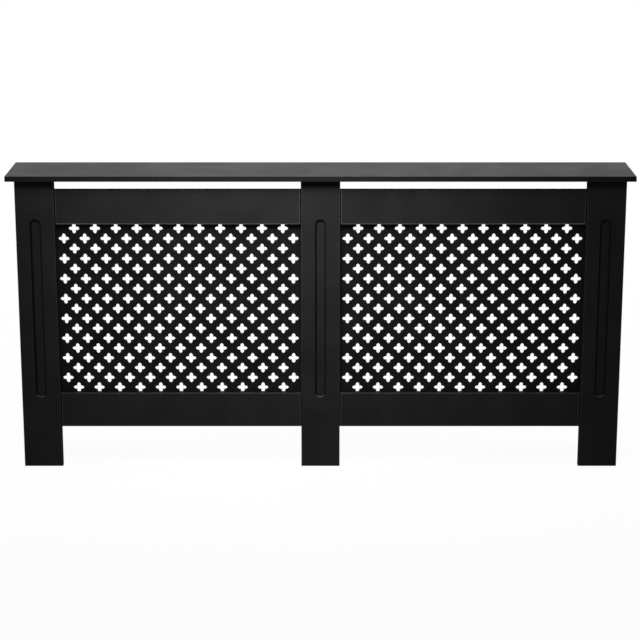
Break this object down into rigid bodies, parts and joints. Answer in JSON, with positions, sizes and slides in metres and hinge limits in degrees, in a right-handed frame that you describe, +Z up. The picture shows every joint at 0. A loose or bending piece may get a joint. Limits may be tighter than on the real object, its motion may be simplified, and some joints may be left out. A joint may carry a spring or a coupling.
{
  "type": "radiator cover cabinet",
  "caption": "Long low radiator cover cabinet: overhanging shelf on grooved legs, pierced lattice windows, vent gap, open feet and open back, put together with dowels and cam locks.",
  "frame": {"origin": "on the floor, at the middle of the shelf's outline seen from above", "axes": "+X along the width to the viewer's right, +Y from the front to the wall, +Z up"},
  "size_m": [1.72, 0.19, 0.845],
  "materials": {
    "painted_board": "fibreboard sprayed with a black satin paint",
    "grille_board": "thin pierced fibreboard with the same black satin paint",
    "beech": "bare beech",
    "plated_steel": "bright zinc plate",
    "cast_zinc": "bare die-cast zinc"
  },
  "bodies": {
    "cabinet": {"top_shelf": "painted_board", "center_front_leg": "painted_board", "left_front_leg": "painted_board", "left_side_panel": "painted_board", "left_upper_rail": "painted_board", "left_lower_rail": "painted_board", "right_front_leg": "painted_board", "right_side_panel": "painted_board", "right_upper_rail": "painted_board", "right_lower_rail": "painted_board", "left_grille": "grille_board", "right_grille": "grille_board", "rail_dowels": "beech", "side_dowels": "beech", "shelf_dowels": "beech", "cam_bolts": "plated_steel", "rail_joining_plates": "plated_steel", "plate_screws": "plated_steel", "left_grille_screws": "plated_steel", "right_grille_screws": "plated_steel", "left_wall_bracket": "plated_steel", "right_wall_bracket": "plated_steel", "bracket_screws": "plated_steel"},
    "center_shelf_cam": {"center_shelf_cam": "cast_zinc"},
    "left_lower_cam": {"left_lower_cam": "cast_zinc"},
    "left_upper_cam": {"left_upper_cam": "cast_zinc"},
    "left_shelf_cam": {"left_shelf_cam": "cast_zinc"},
    "right_lower_cam": {"right_lower_cam": "cast_zinc"},
    "right_upper_cam": {"right_upper_cam": "cast_zinc"},
    "right_shelf_cam": {"right_shelf_cam": "cast_zinc"}
  },
  "joints": [
    {"name": "center_shelf_cam_turn", "type": "hinge", "parent": "cabinet", "child": "center_shelf_cam", "pos_m": [0, -0.0645, 0.806], "axis": [0, 1, 0], "range_deg": [0, 180]},
    {"name": "left_lower_cam_turn", "type": "hinge", "parent": "cabinet", "child": "left_lower_cam", "pos_m": [-0.8305, -0.033, 0.14], "axis": [1, 0, 0], "range_deg": [0, 180]},
    {"name": "left_upper_cam_turn", "type": "hinge", "parent": "cabinet", "child": "left_upper_cam", "pos_m": [-0.8305, -0.033, 0.69], "axis": [1, 0, 0], "range_deg": [0, 180]},
    {"name": "left_shelf_cam_turn", "type": "hinge", "parent": "cabinet", "child": "left_shelf_cam", "pos_m": [-0.8305, 0.019, 0.806], "axis": [1, 0, 0], "range_deg": [0, 180]},
    {"name": "right_lower_cam_turn", "type": "hinge", "parent": "cabinet", "child": "right_lower_cam", "pos_m": [0.8305, -0.033, 0.14], "axis": [-1, 0, 0], "range_deg": [0, 180]},
    {"name": "right_upper_cam_turn", "type": "hinge", "parent": "cabinet", "child": "right_upper_cam", "pos_m": [0.8305, -0.033, 0.69], "axis": [-1, 0, 0], "range_deg": [0, 180]},
    {"name": "right_shelf_cam_turn", "type": "hinge", "parent": "cabinet", "child": "right_shelf_cam", "pos_m": [0.8305, 0.019, 0.806], "axis": [-1, 0, 0], "range_deg": [0, 180]}
  ]
}
